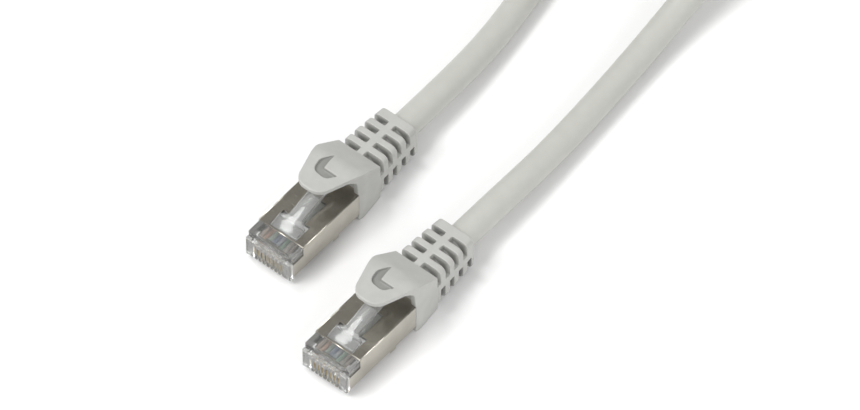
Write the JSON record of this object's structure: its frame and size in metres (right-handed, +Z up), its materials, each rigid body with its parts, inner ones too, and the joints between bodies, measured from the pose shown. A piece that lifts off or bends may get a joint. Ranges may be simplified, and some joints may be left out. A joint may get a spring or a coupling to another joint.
{
  "type": "ethernet patch cable",
  "caption": "Shielded network patch lead with two clear modular plugs, latch hoods and ribbed strain reliefs on one round grey cable.",
  "frame": {"origin": "on the resting surface, under the middle of the two plugs without the cable", "axes": "+Y from the plug noses towards the cable, +X across both plugs, +Z up with the latches on top"},
  "size_m": [0.0615, 0.2154, 0.0161],
  "materials": {
    "clear_plastic": "clear, polished",
    "latch_plastic": "clear, polished",
    "nickel_sheet": "satin nickel plate",
    "gold_plate": "gold plated",
    "frosted_plastic": "translucent white",
    "copper": "bare copper",
    "screen_foil": "bright foil",
    "tinned_wire": "tinned",
    "cable_jacket": "soft satin",
    "white_plastic": "natural moulding",
    "boot_plastic": "soft matt moulding",
    "tie_fabric": "woven hook and loop",
    "wire_orange_white": "insulation",
    "wire_orange": "insulation",
    "wire_green_white": "insulation",
    "wire_blue": "insulation",
    "wire_blue_white": "insulation",
    "wire_green": "insulation",
    "wire_brown_white": "insulation",
    "wire_brown": "insulation"
  },
  "bodies": {
    "lead": {"plug_a_housing": "clear_plastic", "plug_a_shield": "nickel_sheet", "plug_a_contacts": "gold_plate", "plug_a_load_bar": "frosted_plastic", "plug_a_conductors": "copper", "plug_a_foil": "screen_foil", "plug_a_drain_wire": "tinned_wire", "plug_a_cable_end": "cable_jacket", "plug_a_inner_mould": "white_plastic", "plug_a_boot": "boot_plastic", "plug_a_wire_1": "wire_orange_white", "plug_a_wire_2": "wire_orange", "plug_a_wire_3": "wire_green_white", "plug_a_wire_4": "wire_blue", "plug_a_wire_5": "wire_blue_white", "plug_a_wire_6": "wire_green", "plug_a_wire_7": "wire_brown_white", "plug_a_wire_8": "wire_brown", "plug_b_housing": "clear_plastic", "plug_b_shield": "nickel_sheet", "plug_b_contacts": "gold_plate", "plug_b_load_bar": "frosted_plastic", "plug_b_conductors": "copper", "plug_b_foil": "screen_foil", "plug_b_drain_wire": "tinned_wire", "plug_b_cable_end": "cable_jacket", "plug_b_inner_mould": "white_plastic", "plug_b_boot": "boot_plastic", "plug_b_wire_1": "wire_orange_white", "plug_b_wire_2": "wire_orange", "plug_b_wire_3": "wire_green_white", "plug_b_wire_4": "wire_blue", "plug_b_wire_5": "wire_blue_white", "plug_b_wire_6": "wire_green", "plug_b_wire_7": "wire_brown_white", "plug_b_wire_8": "wire_brown", "cable_run_a": "cable_jacket", "cable_run_b": "cable_jacket", "cable_coil": "cable_jacket", "coil_tie": "tie_fabric"},
    "plug_a_latch_arm": {"plug_a_latch": "latch_plastic"},
    "plug_a_hood_tongue": {"plug_a_hood": "boot_plastic"},
    "plug_b_latch_arm": {"plug_b_latch": "latch_plastic"},
    "plug_b_hood_tongue": {"plug_b_hood": "boot_plastic"}
  },
  "joints": [
    {"name": "plug_a_hood_press", "type": "hinge", "parent": "lead", "child": "plug_a_hood_tongue", "pos_m": [-0.0134, 0.00995, 0.0094], "axis": [1, 0, 0], "range_deg": [0, 10], "stiffness_Nm_per_rad": 0.02},
    {"name": "plug_a_latch_bend", "type": "hinge", "parent": "lead", "child": "plug_a_latch_arm", "pos_m": [-0.0134, -0.00815, 0.00765], "axis": [1, 0, 0], "range_deg": [-7.2, 0], "stiffness_Nm_per_rad": 0.01},
    {"name": "plug_b_hood_press", "type": "hinge", "parent": "lead", "child": "plug_b_hood_tongue", "pos_m": [0.0134, -0.00445, 0.0094], "axis": [1, 0, 0], "range_deg": [0, 10], "stiffness_Nm_per_rad": 0.02},
    {"name": "plug_b_latch_bend", "type": "hinge", "parent": "lead", "child": "plug_b_latch_arm", "pos_m": [0.0134, -0.02255, 0.00765], "axis": [1, 0, 0], "range_deg": [-7.2, 0], "stiffness_Nm_per_rad": 0.01}
  ],
  "couplings": [
    {"joint": "plug_a_latch_bend", "follows": "plug_a_hood_press", "ratio": -0.72},
    {"joint": "plug_b_latch_bend", "follows": "plug_b_hood_press", "ratio": -0.72}
  ]
}
